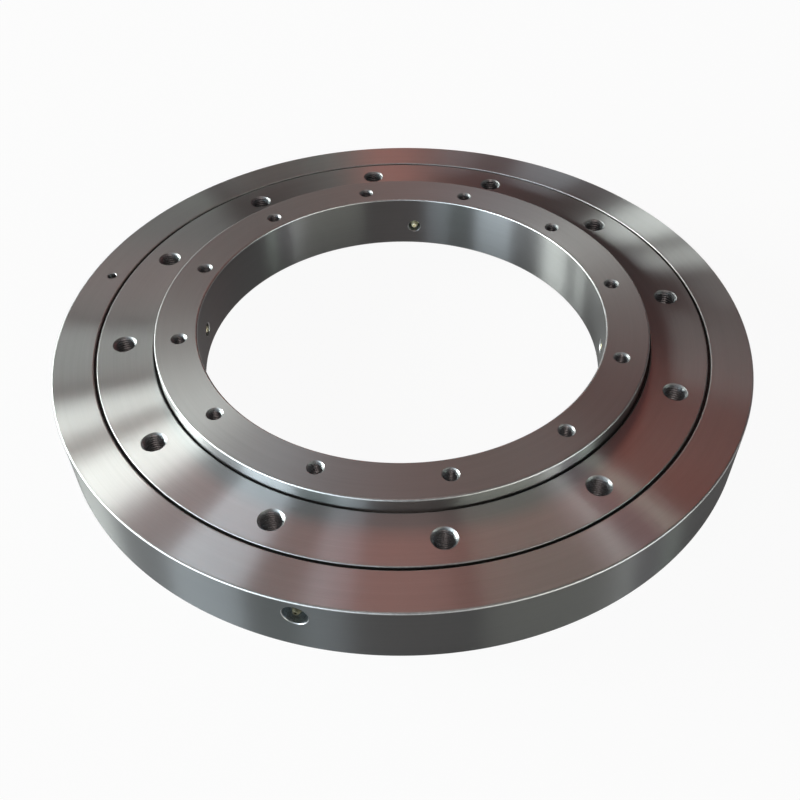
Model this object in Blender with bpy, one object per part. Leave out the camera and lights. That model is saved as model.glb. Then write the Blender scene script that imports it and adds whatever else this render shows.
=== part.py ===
"""Slewing ring bearing with three rings and two ball races, lying flat on its outer ring.

Metres, +Z up. The origin is on the rings' axis, in the plane of the outer ring's bottom face.
Azimuths are in degrees from +X towards +Y.
"""

import math

import bmesh
import bpy
from mathutils import Matrix

# Facets of the turned parts
RING_SIDES = 48
HOLE_SIDES = 10
NIPPLE_SIDES = 6
BALL_SEGMENTS = 6
BALL_BANDS = 4
RACE_STEPS = 3

# Radial build-up, from the bore outwards
BORE_RADIUS = 0.1475
INNER_RING_WIDTH = 0.0305
RACE_GAP = 0.002
MIDDLE_RING_WIDTH = 0.03925
OUTER_RING_WIDTH = 0.02875

# Heights: the outer and the middle ring are flush on top, and the inner ring stands above them
OUTER_RING_HEIGHT = 0.045
MIDDLE_RING_LIFT = 0.005
INNER_RING_HEIGHT = 0.0435
INNER_RING_RAISE = 0.009

# Edges
OUTSIDE_CHAMFER = 0.0012
GAP_CHAMFER = 0.0008

# Balls, spacers and races
BALL_RADIUS = 0.007
BALL_PITCH = 0.026
TRAINS_PER_RACE = 12
OUTER_RACE_LAND = 0.0006
RACE_CLEARANCE = 0.00035

# Seals
SEAL_SETBACK = 0.0018
SEAL_HEIGHT = 0.0024
SEAL_DEPTH = 0.0025

# Clearance between pieces that touch on the real bearing
SEAT_CLEARANCE = 0.0003

# Tapped holes: M16 in the middle ring, M10 in the inner ring, M12 in the outer ring's underside
HOLES_PER_RING = 12
MIDDLE_HOLE_INSET = 0.0205
MIDDLE_HOLE_RADIUS = 0.007
MIDDLE_HOLE_DEPTH = 0.028
MIDDLE_HOLE_AZIMUTH = 6.6
INNER_HOLE_INSET = 0.013
INNER_HOLE_RADIUS = 0.00425
INNER_HOLE_DEPTH = 0.022
INNER_HOLE_AZIMUTH = 10.2
OUTER_HOLE_INSET = 0.014
OUTER_HOLE_RADIUS = 0.0051
OUTER_HOLE_DEPTH = 0.018
HOLE_CHAMFER = 0.0015
DRILL_POINT_ANGLE = 118.0

# How far a cutter starts outside the face that it cuts
OVERRUN = 0.002

# Filling plugs and their taper pins
OUTER_PLUG_AZIMUTH = 165.5
INNER_PLUG_AZIMUTH = 325.2
PLUG_MARGIN = 0.001
PIN_RADIUS = 0.003
PIN_TAPER = 0.02
PIN_RECESS = 0.003
PIN_PAST_PLUG = 0.005
OUTER_PIN_INSET = 0.01165
INNER_PIN_INSET = 0.0135

# Grease nipples, sunk in round recesses at quarter turns, one of which the outer ring's plug takes
QUARTER_TURN = 90.0
BORE_NIPPLES = 4
BORE_NIPPLE_AZIMUTH = 85.2
OUTER_RECESS_RADIUS = 0.008
OUTER_RECESS_DEPTH = 0.0105
BORE_RECESS_RADIUS = 0.005
BORE_RECESS_DEPTH = 0.0093
SHANK_RADIUS = 0.0026
SHANK_LENGTH = 0.0055
HEXAGON_RADIUS = 0.00404
HEXAGON_HEIGHT = 0.003
NECK_RADIUS = 0.0021
NECK_HEIGHT = 0.0015
HEAD_RADIUS = 0.00325
HEAD_HEIGHT = 0.0042
NOZZLE_RADIUS = 0.0015
NOZZLE_DEPTH = 0.001
GREASE_PASSAGE_RADIUS = 0.0015

# Radii and heights that follow from these
INNER_RING_RADIUS = BORE_RADIUS + INNER_RING_WIDTH
MIDDLE_RING_BORE = INNER_RING_RADIUS + RACE_GAP
MIDDLE_RING_RADIUS = MIDDLE_RING_BORE + MIDDLE_RING_WIDTH
OUTER_RING_BORE = MIDDLE_RING_RADIUS + RACE_GAP
OUTER_RADIUS = OUTER_RING_BORE + OUTER_RING_WIDTH
FACE_Z = OUTER_RING_HEIGHT
MIDDLE_BOTTOM_Z = MIDDLE_RING_LIFT
INNER_TOP_Z = FACE_Z + INNER_RING_RAISE
INNER_BOTTOM_Z = INNER_TOP_Z - INNER_RING_HEIGHT
UPPER_SEAL_Z = FACE_Z - SEAL_SETBACK - SEAL_HEIGHT
OUTER_LOWER_SEAL_Z = MIDDLE_BOTTOM_Z + SEAL_SETBACK
INNER_LOWER_SEAL_Z = INNER_BOTTOM_Z + SEAL_SETBACK
PLUG_RADIUS = BALL_RADIUS + PLUG_MARGIN

# Section of a race: an arc of flats that touch a circle round the balls, open across the gap
RACE_REACH = BALL_RADIUS + RACE_CLEARANCE
RACE_ENTRY_ANGLE = math.acos(RACE_GAP / 2 / RACE_REACH)
RACE_CORNER = RACE_REACH / math.cos(RACE_ENTRY_ANGLE / RACE_STEPS)
RACE_HALF_HEIGHT = RACE_CORNER * math.sin(RACE_ENTRY_ANGLE)

# The outer race lies close under its upper seal, the inner one midway between its seals.
OUTER_RACE_RADIUS = MIDDLE_RING_RADIUS + RACE_GAP / 2
OUTER_RACE_Z = UPPER_SEAL_Z - OUTER_RACE_LAND - RACE_HALF_HEIGHT
INNER_RACE_RADIUS = INNER_RING_RADIUS + RACE_GAP / 2
INNER_RACE_Z = (UPPER_SEAL_Z + INNER_LOWER_SEAL_Z + SEAL_HEIGHT) / 2

# A turned surface is a polygon, so its flats lie inside the circle through its corners.
FLAT_RATIO = math.cos(math.pi / RING_SIDES)


def concave(radius):
    """Corner radius of the polygon whose flats touch the given circle from outside."""
    return radius / FLAT_RATIO


def material(name, colour, roughness, metallic):
    made = bpy.data.materials.new(name)
    made.use_nodes = True
    shader = made.node_tree.nodes["Principled BSDF"]
    shader.inputs["Base Color"].default_value = (*colour, 1.0)
    shader.inputs["Roughness"].default_value = roughness
    shader.inputs["Metallic"].default_value = metallic
    made.diffuse_color = (*colour, 1.0)
    return made


def linked(made):
    bpy.context.scene.collection.objects.link(made)
    return made


def pivot(name, parent=None):
    """An empty on the rings' axis that carries the pieces of one turning body."""
    made = linked(bpy.data.objects.new(name, None))
    made.parent = parent
    return made


def put(name, mesh, finish, body, place=None):
    """A named piece of this mesh on its body, shaded smooth apart from its sharp edges."""
    made = linked(bpy.data.objects.new(name, mesh))
    if not mesh.materials:
        mesh.name = name
        mesh.materials.append(finish)
        mesh.shade_smooth()
        mesh.set_sharp_from_angle(angle=math.radians(30))
    made.parent = body
    made.matrix_basis = place or Matrix.Identity(4)
    return made


def finished(bm):
    bmesh.ops.recalc_face_normals(bm, faces=bm.faces[:])
    made = bpy.data.meshes.new("shape")
    bm.to_mesh(made)
    bm.free()
    return made


def turned(points, sides=RING_SIDES, closed=True):
    """Spins an outline of (radius, height) points about Z. An open one starts and ends on Z."""
    bm = bmesh.new()
    corners = [bm.verts.new((radius, 0.0, height)) for radius, height in points]
    ends = corners[1:] + corners[:1] if closed else corners[1:]
    edges = [bm.edges.new(pair) for pair in zip(corners, ends)]
    bmesh.ops.spin(
        bm,
        geom=corners + edges,
        axis=(0.0, 0.0, 1.0),
        cent=(0.0, 0.0, 0.0),
        angle=math.tau,
        steps=sides,
        use_merge=True,
    )
    bmesh.ops.remove_doubles(bm, verts=bm.verts[:], dist=1e-6)
    return finished(bm)


def cutter(name, shape, places):
    """A hidden object with one copy of the shape at each place."""
    bm = bmesh.new()
    for place in places:
        already = len(bm.verts)
        bm.from_mesh(shape)
        bmesh.ops.transform(bm, matrix=place, verts=bm.verts[already:])
    made = linked(bpy.data.objects.new(name, finished(bm)))
    made.hide_render = True
    made.display_type = "WIRE"
    return made


def cut(body, tool, operation="DIFFERENCE"):
    modifier = body.modifiers.new(tool.name, "BOOLEAN")
    modifier.operation = operation
    modifier.solver = "EXACT"
    modifier.object = tool


def turn(azimuth):
    return Matrix.Rotation(math.radians(azimuth), 4, "Z")


def upright(radius, azimuth, height, upside_down=False):
    """A frame at this place with its Z up, or down."""
    flip = Matrix.Rotation(math.pi if upside_down else 0.0, 4, "X")
    return turn(azimuth) @ Matrix.Translation((radius, 0.0, height)) @ flip


def radial(radius, azimuth, height, inwards=False):
    """A frame at this place whose Z points away from the rings' axis, or towards it."""
    tilt = Matrix.Rotation(math.radians(-90 if inwards else 90), 4, "Y")
    return upright(radius, azimuth, height) @ tilt


def around(first, count):
    return [first + 360.0 * index / count for index in range(count)]


def race_groove(side, race_radius, race_z):
    """Outline of one ring's half of a race, from top to bottom. Side is 1 in the race's outer ring."""
    points = []
    for step in range(RACE_STEPS + 1):
        angle = RACE_ENTRY_ANGLE * (1 - 2 * step / RACE_STEPS)
        at_edge = step in (0, RACE_STEPS)
        across = RACE_GAP / 2 if at_edge else RACE_CORNER * math.cos(angle)
        points.append((race_radius + side * across, race_z + RACE_CORNER * math.sin(angle)))
    if side > 0:
        points = [(concave(radius), height) for radius, height in points]
    return points


def seal_groove(bore, low):
    """Outline of the groove that holds a seal in a ring's bore, from top to bottom."""
    wall = concave(bore)
    back = concave(bore + SEAL_DEPTH)
    high = low + SEAL_HEIGHT
    return [(wall, high), (back, high), (back, low), (wall, low)]


def outer_ring_mesh():
    wall = concave(OUTER_RING_BORE)
    lead = concave(OUTER_RING_BORE + GAP_CHAMFER)
    rim = OUTER_RADIUS - OUTSIDE_CHAMFER
    outline = [
        (OUTER_RADIUS, OUTSIDE_CHAMFER),
        (OUTER_RADIUS, FACE_Z - OUTSIDE_CHAMFER),
        (rim, FACE_Z),
        (lead, FACE_Z),
        (wall, FACE_Z - GAP_CHAMFER),
        *seal_groove(OUTER_RING_BORE, UPPER_SEAL_Z),
        *race_groove(1, OUTER_RACE_RADIUS, OUTER_RACE_Z),
        *seal_groove(OUTER_RING_BORE, OUTER_LOWER_SEAL_Z),
        (wall, 0.0),
        (rim, 0.0),
    ]
    return turned(outline)


def middle_ring_mesh():
    wall = concave(MIDDLE_RING_BORE)
    lead = concave(MIDDLE_RING_BORE + GAP_CHAMFER)
    rim = MIDDLE_RING_RADIUS - GAP_CHAMFER
    outline = [
        (rim, FACE_Z),
        (lead, FACE_Z),
        (wall, FACE_Z - GAP_CHAMFER),
        *seal_groove(MIDDLE_RING_BORE, UPPER_SEAL_Z),
        *race_groove(1, INNER_RACE_RADIUS, INNER_RACE_Z),
        *seal_groove(MIDDLE_RING_BORE, INNER_LOWER_SEAL_Z),
        (wall, MIDDLE_BOTTOM_Z),
        (MIDDLE_RING_RADIUS, MIDDLE_BOTTOM_Z),
        *reversed(race_groove(-1, OUTER_RACE_RADIUS, OUTER_RACE_Z)),
        (MIDDLE_RING_RADIUS, FACE_Z - GAP_CHAMFER),
    ]
    return turned(outline)


def inner_ring_mesh():
    wall = concave(BORE_RADIUS)
    lead = concave(BORE_RADIUS + OUTSIDE_CHAMFER)
    rim = INNER_RING_RADIUS - OUTSIDE_CHAMFER
    outline = [
        (rim, INNER_TOP_Z),
        (lead, INNER_TOP_Z),
        (wall, INNER_TOP_Z - OUTSIDE_CHAMFER),
        (wall, INNER_BOTTOM_Z + OUTSIDE_CHAMFER),
        (lead, INNER_BOTTOM_Z),
        (rim, INNER_BOTTOM_Z),
        (INNER_RING_RADIUS, INNER_BOTTOM_Z + OUTSIDE_CHAMFER),
        *reversed(race_groove(-1, INNER_RACE_RADIUS, INNER_RACE_Z)),
        (INNER_RING_RADIUS, INNER_TOP_Z - OUTSIDE_CHAMFER),
    ]
    return turned(outline)


def seal_mesh(bore, low):
    """A rubber strip in its groove in a ring's bore, thinner towards its lip across the gap."""
    back = concave(bore + SEAL_DEPTH - SEAT_CLEARANCE)
    tip = concave(bore - RACE_GAP + SEAT_CLEARANCE)
    bottom = low + SEAT_CLEARANCE
    top = low + SEAL_HEIGHT - SEAT_CLEARANCE
    thinner = (top - bottom) / 3
    outline = [(back, bottom), (back, top), (tip, top - thinner), (tip, bottom + thinner)]
    return turned(outline)


def rim(faces):
    """The edges round a patch of faces."""
    edges = [edge for face in faces for edge in face.edges]
    return [edge for edge in edges if edges.count(edge) == 1]


def train_mesh(race_radius, race_z):
    """One stretch of a race's filling: balls with the spacers that keep them apart.

    Each ball turns a pair of facets to its neighbour, and the spacer runs from pair to pair.
    """
    balls = max(1, round(math.tau * race_radius / BALL_PITCH / TRAINS_PER_RACE))
    step = 360.0 / TRAINS_PER_RACE / balls
    facet = math.tau / BALL_SEGMENTS
    facet_ahead = Matrix.Rotation(facet / 2, 4, "Z")
    bm = bmesh.new()
    backs = []
    fronts = []
    for index in range(balls):
        place = upright(race_radius, index * step, race_z)
        ball = bmesh.ops.create_uvsphere(
            bm,
            u_segments=BALL_SEGMENTS,
            v_segments=BALL_BANDS,
            radius=BALL_RADIUS,
            matrix=place @ facet_ahead,
        )
        bm.normal_update()
        ahead = place.to_3x3().col[1]
        faces = {face for vert in ball["verts"] for face in vert.link_faces}
        fronts.append([face for face in faces if face.normal.dot(ahead) > 0.8])
        backs.append([face for face in faces if face.normal.dot(ahead) < -0.8])
    for front, back in zip(fronts, backs[1:]):
        rims = rim(front) + rim(back)
        bmesh.ops.delete(bm, geom=front + back, context="FACES")
        bmesh.ops.bridge_loops(bm, edges=rims)
    last_spacer = bmesh.ops.extrude_face_region(bm, geom=fronts[-1])["geom"]
    bmesh.ops.delete(bm, geom=fronts[-1], context="FACES")
    facet_reach = BALL_RADIUS * math.cos(facet / 2)
    end = math.radians(balls * step) - (facet_reach + SEAT_CLEARANCE) / race_radius
    for vert in last_spacer:
        if isinstance(vert, bmesh.types.BMVert):
            radius = math.hypot(vert.co.x, vert.co.y)
            vert.co.x = radius * math.cos(end)
            vert.co.y = radius * math.sin(end)
    return finished(bm)


def drilled_hole(radius, depth):
    """A blind hole with a chamfered mouth at height 0 and a drill's point at its bottom."""
    point = radius / math.tan(math.radians(DRILL_POINT_ANGLE / 2))
    outline = [
        (0.0, OVERRUN),
        (radius + HOLE_CHAMFER + OVERRUN, OVERRUN),
        (radius, -HOLE_CHAMFER),
        (radius, -depth),
        (0.0, -depth - point),
    ]
    return turned(outline, HOLE_SIDES, closed=False)


def nipple_seat(recess_radius, recess_depth, passage):
    """A nipple's recess, the hole of its shank and the passage that ends in the race."""
    shank = SHANK_RADIUS + SEAT_CLEARANCE
    shank_end = -recess_depth - SHANK_LENGTH - SEAT_CLEARANCE
    outline = [
        (0.0, OVERRUN),
        (recess_radius, OVERRUN),
        (recess_radius, -recess_depth),
        (shank, -recess_depth),
        (shank, shank_end),
        (GREASE_PASSAGE_RADIUS, shank_end),
        (GREASE_PASSAGE_RADIUS, -passage),
        (0.0, -passage),
    ]
    return turned(outline, HOLE_SIDES, closed=False)


def nipple_mesh():
    """A grease nipple with its shank below height 0 and its mushroom head on top."""
    hexagon_top = SEAT_CLEARANCE + HEXAGON_HEIGHT
    head_base = hexagon_top + NECK_HEIGHT
    top = head_base + HEAD_HEIGHT
    outline = [
        (0.0, -SHANK_LENGTH),
        (SHANK_RADIUS, -SHANK_LENGTH),
        (SHANK_RADIUS, SEAT_CLEARANCE),
        (HEXAGON_RADIUS, SEAT_CLEARANCE),
        (HEXAGON_RADIUS, hexagon_top),
        (NECK_RADIUS, hexagon_top),
        (NECK_RADIUS, head_base),
        (HEAD_RADIUS, head_base + HEAD_HEIGHT / 3),
        (NOZZLE_RADIUS, top),
        (0.0, top - NOZZLE_DEPTH),
    ]
    return turned(outline, NIPPLE_SIDES, closed=False)


def rod(radius, high, low, taper=0.0):
    """A round rod along Z whose radius is given at height 0 and shrinks downwards with the taper."""
    radii = [(radius + taper / 2 * height, height) for height in (high, low)]
    return turned([(0.0, high), *radii, (0.0, low)], HOLE_SIDES, closed=False)


def add_holes(ring, radius, depth, places):
    cut(ring, cutter(ring.name + "_holes", drilled_hole(radius, depth), places))


def add_filling_plug(ring, uncut, race, place, length, pin_place, pin_depth, steel):
    """Closes a race's filling hole with a plug, held by a taper pin through ring and plug.

    Z of each place points out of the ring. The plug is a round bar cut to the form of the uncut
    ring, so its outer end follows the ring's wall and its inner end follows the race.
    """
    hole = rod(PLUG_RADIUS + SEAT_CLEARANCE, 2 * OVERRUN, -length)
    cut(ring, cutter(race + "_plug_hole", hole, [place]))
    pin_low = -(pin_depth + PLUG_RADIUS + PIN_PAST_PLUG)
    pin_bore = rod(PIN_RADIUS + SEAT_CLEARANCE, OVERRUN, pin_low - SEAT_CLEARANCE, PIN_TAPER)
    pin_hole = cutter(race + "_pin_hole", pin_bore, [pin_place])
    cut(ring, pin_hole)

    plug = put(race + "_filling_plug", rod(PLUG_RADIUS, OVERRUN, -length), steel, ring.parent, place)
    cut(plug, cutter(race + "_uncut_ring", uncut, [Matrix.Identity(4)]), "INTERSECT")
    cut(plug, pin_hole)
    pin = rod(PIN_RADIUS, -PIN_RECESS, pin_low, PIN_TAPER)
    put(race + "_plug_pin", pin, steel, ring.parent, pin_place)


def add_nipples(ring, name, places, recess_radius, recess_depth, race_distance, mesh, brass):
    """Grease nipples in recesses of the ring's wall. Z of each place points out of the wall."""
    passage = race_distance - BALL_RADIUS / 2
    cut(ring, cutter(name + "_seats", nipple_seat(recess_radius, recess_depth, passage), places))
    for number, place in enumerate(places, 1):
        seat = place @ Matrix.Translation((0.0, 0.0, -recess_depth))
        put(f"{name}_{number}", mesh, brass, ring.parent, seat)


def add_ball_trains(race, race_radius, race_z, steel, body):
    mesh = train_mesh(race_radius, race_z)
    for number, azimuth in enumerate(around(0.0, TRAINS_PER_RACE), 1):
        put(f"{race}_ball_train_{number:02}", mesh, steel, body, turn(azimuth))


def add_outer_ring(body, ring_steel, plug_steel, nipple, brass):
    """The ring that is bolted down from below, with the outer race's plug and nipples."""
    ring = put("outer_ring", outer_ring_mesh(), ring_steel, body)
    hole_radius = OUTER_RING_BORE + OUTER_HOLE_INSET
    first_hole = OUTER_PLUG_AZIMUTH + 180.0 / HOLES_PER_RING
    holes = [upright(hole_radius, azimuth, 0.0, True) for azimuth in around(first_hole, HOLES_PER_RING)]
    add_holes(ring, OUTER_HOLE_RADIUS, OUTER_HOLE_DEPTH, holes)

    wall_to_race = OUTER_RADIUS - OUTER_RACE_RADIUS
    plug_place = radial(OUTER_RADIUS, OUTER_PLUG_AZIMUTH, OUTER_RACE_Z)
    pin_place = upright(OUTER_RING_BORE + OUTER_PIN_INSET, OUTER_PLUG_AZIMUTH, FACE_Z)
    add_filling_plug(
        ring,
        outer_ring_mesh(),
        "outer_race",
        plug_place,
        wall_to_race,
        pin_place,
        FACE_Z - OUTER_RACE_Z,
        plug_steel,
    )

    azimuths = [OUTER_PLUG_AZIMUTH + QUARTER_TURN * turns for turns in (1, 2, 3)]
    places = [radial(OUTER_RADIUS, azimuth, OUTER_RACE_Z) for azimuth in azimuths]
    recess = OUTER_RECESS_RADIUS, OUTER_RECESS_DEPTH
    add_nipples(ring, "outer_grease_nipple", places, *recess, wall_to_race, nipple, brass)


def add_middle_ring(body, ring_steel):
    """The ring between the two races, with the large tapped holes."""
    ring = put("middle_ring", middle_ring_mesh(), ring_steel, body)
    hole_radius = MIDDLE_RING_BORE + MIDDLE_HOLE_INSET
    azimuths = around(MIDDLE_HOLE_AZIMUTH, HOLES_PER_RING)
    holes = [upright(hole_radius, azimuth, FACE_Z) for azimuth in azimuths]
    add_holes(ring, MIDDLE_HOLE_RADIUS, MIDDLE_HOLE_DEPTH, holes)


def add_inner_ring(body, ring_steel, plug_steel, nipple, brass):
    """The raised ring with the small tapped holes, with the inner race's plug and nipples."""
    ring = put("inner_ring", inner_ring_mesh(), ring_steel, body)
    hole_radius = BORE_RADIUS + INNER_HOLE_INSET
    azimuths = around(INNER_HOLE_AZIMUTH, HOLES_PER_RING)
    holes = [upright(hole_radius, azimuth, INNER_TOP_Z) for azimuth in azimuths]
    add_holes(ring, INNER_HOLE_RADIUS, INNER_HOLE_DEPTH, holes)

    race_to_wall = INNER_RACE_RADIUS - BORE_RADIUS
    plug_place = radial(BORE_RADIUS, INNER_PLUG_AZIMUTH, INNER_RACE_Z, inwards=True)
    pin_radius = INNER_RING_RADIUS - INNER_PIN_INSET
    pin_place = upright(pin_radius, INNER_PLUG_AZIMUTH, INNER_BOTTOM_Z, upside_down=True)
    add_filling_plug(
        ring,
        inner_ring_mesh(),
        "inner_race",
        plug_place,
        race_to_wall,
        pin_place,
        INNER_RACE_Z - INNER_BOTTOM_Z,
        plug_steel,
    )

    azimuths = around(BORE_NIPPLE_AZIMUTH, BORE_NIPPLES)
    places = [radial(BORE_RADIUS, azimuth, INNER_RACE_Z, inwards=True) for azimuth in azimuths]
    recess = BORE_RECESS_RADIUS, BORE_RECESS_DEPTH
    add_nipples(ring, "bore_grease_nipple", places, *recess, race_to_wall, nipple, brass)


def build():
    for old in list(bpy.data.objects):
        bpy.data.objects.remove(old, do_unlink=True)

    ring_steel = material("ground_steel", (0.60, 0.61, 0.60), 0.28, 1.0)
    plug_steel = material("plug_steel", (0.42, 0.42, 0.42), 0.4, 1.0)
    ball_steel = material("ball_steel", (0.70, 0.71, 0.72), 0.12, 1.0)
    rubber = material("seal_rubber", (0.02, 0.02, 0.02), 0.6, 0.0)
    brass = material("brass", (0.68, 0.48, 0.20), 0.35, 1.0)

    outer_body = pivot("outer_ring_body")
    middle_body = pivot("middle_ring_body", outer_body)
    inner_body = pivot("inner_ring_body", middle_body)
    nipple = nipple_mesh()
    add_outer_ring(outer_body, ring_steel, plug_steel, nipple, brass)
    add_middle_ring(middle_body, ring_steel)
    add_inner_ring(inner_body, ring_steel, plug_steel, nipple, brass)

    put("outer_race_upper_seal", seal_mesh(OUTER_RING_BORE, UPPER_SEAL_Z), rubber, outer_body)
    put("outer_race_lower_seal", seal_mesh(OUTER_RING_BORE, OUTER_LOWER_SEAL_Z), rubber, outer_body)
    put("inner_race_upper_seal", seal_mesh(MIDDLE_RING_BORE, UPPER_SEAL_Z), rubber, middle_body)
    put("inner_race_lower_seal", seal_mesh(MIDDLE_RING_BORE, INNER_LOWER_SEAL_Z), rubber, middle_body)

    outer_balls = pivot("outer_race_balls_body", outer_body)
    inner_balls = pivot("inner_race_balls_body", middle_body)
    add_ball_trains("outer_race", OUTER_RACE_RADIUS, OUTER_RACE_Z, ball_steel, outer_balls)
    add_ball_trains("inner_race", INNER_RACE_RADIUS, INNER_RACE_Z, ball_steel, inner_balls)


build()
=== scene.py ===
"""Looks of the slewing ring bearing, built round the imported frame. Metres, +Z up."""

import math

import bmesh
import bpy
import numpy as np
from mathutils import Matrix, Vector


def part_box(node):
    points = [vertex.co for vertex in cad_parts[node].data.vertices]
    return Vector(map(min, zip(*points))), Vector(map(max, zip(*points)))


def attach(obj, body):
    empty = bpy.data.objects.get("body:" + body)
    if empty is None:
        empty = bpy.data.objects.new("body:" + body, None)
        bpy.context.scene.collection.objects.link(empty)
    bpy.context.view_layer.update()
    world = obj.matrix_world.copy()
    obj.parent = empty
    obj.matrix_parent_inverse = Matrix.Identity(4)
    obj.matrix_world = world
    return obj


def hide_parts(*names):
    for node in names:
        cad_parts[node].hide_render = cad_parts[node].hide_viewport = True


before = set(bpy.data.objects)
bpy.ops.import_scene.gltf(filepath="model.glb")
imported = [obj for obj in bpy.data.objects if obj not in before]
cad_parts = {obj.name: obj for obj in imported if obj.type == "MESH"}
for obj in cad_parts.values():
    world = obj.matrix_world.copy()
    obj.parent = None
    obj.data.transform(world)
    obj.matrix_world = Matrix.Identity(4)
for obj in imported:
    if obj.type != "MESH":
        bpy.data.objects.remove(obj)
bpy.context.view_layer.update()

# Rings, in the part's own sizes
OUTER_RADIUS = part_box("outer_ring")[1][0]
FACE_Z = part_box("outer_ring")[1][2]
MIDDLE_RADIUS = 0.21925
MIDDLE_BOTTOM_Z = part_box("middle_ring")[0][2]
INNER_RADIUS = 0.178
INNER_BOTTOM_Z, INNER_TOP_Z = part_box("inner_ring")[0][2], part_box("inner_ring")[1][2]
RACE_GAP = 0.002
BORE_RADIUS = 0.1475
MIDDLE_BORE = INNER_RADIUS + RACE_GAP
OUTER_BORE = MIDDLE_RADIUS + RACE_GAP

# Races, balls and seals
TRAINS = 12
BALLS_PER_TRAIN = 4
BALL_RADIUS = 0.007
SPACER_RADIUS = 0.0052
SPACER_EASE = 0.0006
BALL_SHARE_CLEAR_OF_SPACER = 0.72
RACE_CLEARANCE = 0.00035
OUTER_RACE_RADIUS = MIDDLE_RADIUS + RACE_GAP / 2
INNER_RACE_RADIUS = INNER_RADIUS + RACE_GAP / 2
OUTER_RACE_Z = sum(corner[2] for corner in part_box("outer_grease_nipple_1")) / 2
INNER_RACE_Z = sum(corner[2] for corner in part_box("bore_grease_nipple_1")) / 2
SEAL_HEIGHT = 0.0024
SEAL_DEPTH = 0.0025
SEAL_SETBACK = 0.0018
UPPER_SEAL_Z = FACE_Z - SEAL_SETBACK - SEAL_HEIGHT
OUTER_LOWER_SEAL_Z = MIDDLE_BOTTOM_Z + SEAL_SETBACK
INNER_LOWER_SEAL_Z = INNER_BOTTOM_Z + SEAL_SETBACK
SEAT_CLEARANCE = 0.0003
OVERRUN = 0.002

# Edges
RIM_EASE = 0.0012
GAP_EASE = 0.0008
EASE_STEPS = 4
EASE_BULGE = 1.2
SUPPORT = 0.00015

# Fineness of the turned surfaces
RING_SEGMENTS = 384
RACE_ARC_STEPS = 14
HOLE_SEGMENTS = 48
THREAD_SEGMENTS = 24

# Tapped holes: azimuth of the first, radius of the hole circle, thread and depth
HOLES = 12
HOLE_CHAMFER = 0.0008
DRILL_POINT = 0.6
THREAD_SHARES = (0.0, 0.22, 0.56, 0.68)
MIDDLE_HOLES = {"azimuth": 6.6, "circle": 0.2005, "core": 0.007, "major": 0.008, "mouth": 0.0085,
                "pitch": 0.002, "depth": 0.028, "face": FACE_Z, "down": False}
INNER_HOLES = {"azimuth": 10.2, "circle": 0.1605, "core": 0.00425, "major": 0.005, "mouth": 0.00575,
               "pitch": 0.0015, "depth": 0.022, "face": INNER_TOP_Z, "down": False}
OUTER_HOLES = {"azimuth": 0.5, "circle": 0.23525, "core": 0.0051, "major": 0.006, "mouth": 0.0066,
               "pitch": 0.00175, "depth": 0.018, "face": 0.0, "down": True}

# Filling plugs with their taper pins
PLUG_RADIUS = 0.008
PIN_RADIUS = 0.003
PIN_TAPER = 0.02
PIN_RECESS = 0.003
PIN_CHAMFER = 0.0004
PIN_EASE = 0.0003
PIN_PAST_PLUG = 0.005
OUTER_PLUG_AZIMUTH = 165.5
INNER_PLUG_AZIMUTH = 325.2
OUTER_PIN_CIRCLE = 0.2329
INNER_PIN_CIRCLE = 0.1645

# Grease nipples in their recesses
OUTER_NIPPLES = (255.5, 345.5, 75.5)
BORE_NIPPLES = (85.2, 175.2, 265.2, 355.2)
OUTER_RECESS_RADIUS = 0.008
OUTER_RECESS_DEPTH = 0.0105
BORE_RECESS_RADIUS = 0.005
BORE_RECESS_DEPTH = 0.0093
RECESS_CHAMFER = 0.0005
SHANK_RADIUS = 0.0026
SHANK_LENGTH = 0.0055
HEXAGON_RADIUS = 0.00404
HEXAGON_HEIGHT = 0.003
NECK_RADIUS = 0.0021
NECK_HEIGHT = 0.0015
HEAD_RADIUS = 0.00325
HEAD_HEIGHT = 0.0042
NOZZLE_RADIUS = 0.0009
NOZZLE_DEPTH = 0.001
GREASE_PASSAGE_RADIUS = 0.0015

# Camera, fitted to the photograph's outlines and hole circles
CAMERA_PLACE = Vector((-0.001906, -0.528344, 0.483236))
CAMERA_AIM = Vector((-0.001906, -0.083933, 0.045))
CAMERA_ROLL = -0.744
CAMERA_LENS = 41.798
SENSOR = 36.0

# Marks of the tools, in noise cells per metre of radius and per turn round the axis
FINE_MARKS = (2600.0, 2.2)
BROAD_MARKS = (300.0, 1.1)
FINE_SHARE = 0.65
BROAD_SHARE = 0.35
HEIGHT_AS_RADIUS = 1.37
MARK_BUMP = 0.12
MARK_DEPTH = 0.00001
ROUGHNESS_SPREAD = 0.03
HAZE_ROUGHNESS = 0.57
HAZE_ANISOTROPY = 0.45

# Sides of the grooves: pairs of lean in degrees and share of the surface
GROUND = [(-54.0, 0.15), (-18.0, 0.35), (18.0, 0.35), (54.0, 0.15)]
TURNED = [(-33.0, 0.15), (-11.0, 0.35), (11.0, 0.35), (33.0, 0.15)]

# Floor and world. The floor shows in steel with only a part of its white, and the world with none.
FLOOR_SIZE = 6.0
FLOOR_DROP = 0.0002
FLOOR_WHITE = 0.94
FLOOR_WHITE_IN_STEEL = 0.3
WORLD_WHITE = 0.95
WORLD_DIM = (0.070, 0.062, 0.062)

# Lamps
LAMP_DISTANCE = 12.0
FILL = (4.00, 3.20)
DAYLIGHT = (0.93, 1.00, 0.96)


def linked(obj):
    bpy.context.scene.collection.objects.link(obj)
    return obj


def turn(azimuth):
    return Matrix.Rotation(math.radians(azimuth), 4, "Z")


def upright(radius, azimuth, height, upside_down=False):
    """Place on a face, Z out of the face."""
    flip = Matrix.Rotation(math.pi if upside_down else 0.0, 4, "X")
    return turn(azimuth) @ Matrix.Translation((radius, 0.0, height)) @ flip


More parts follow.
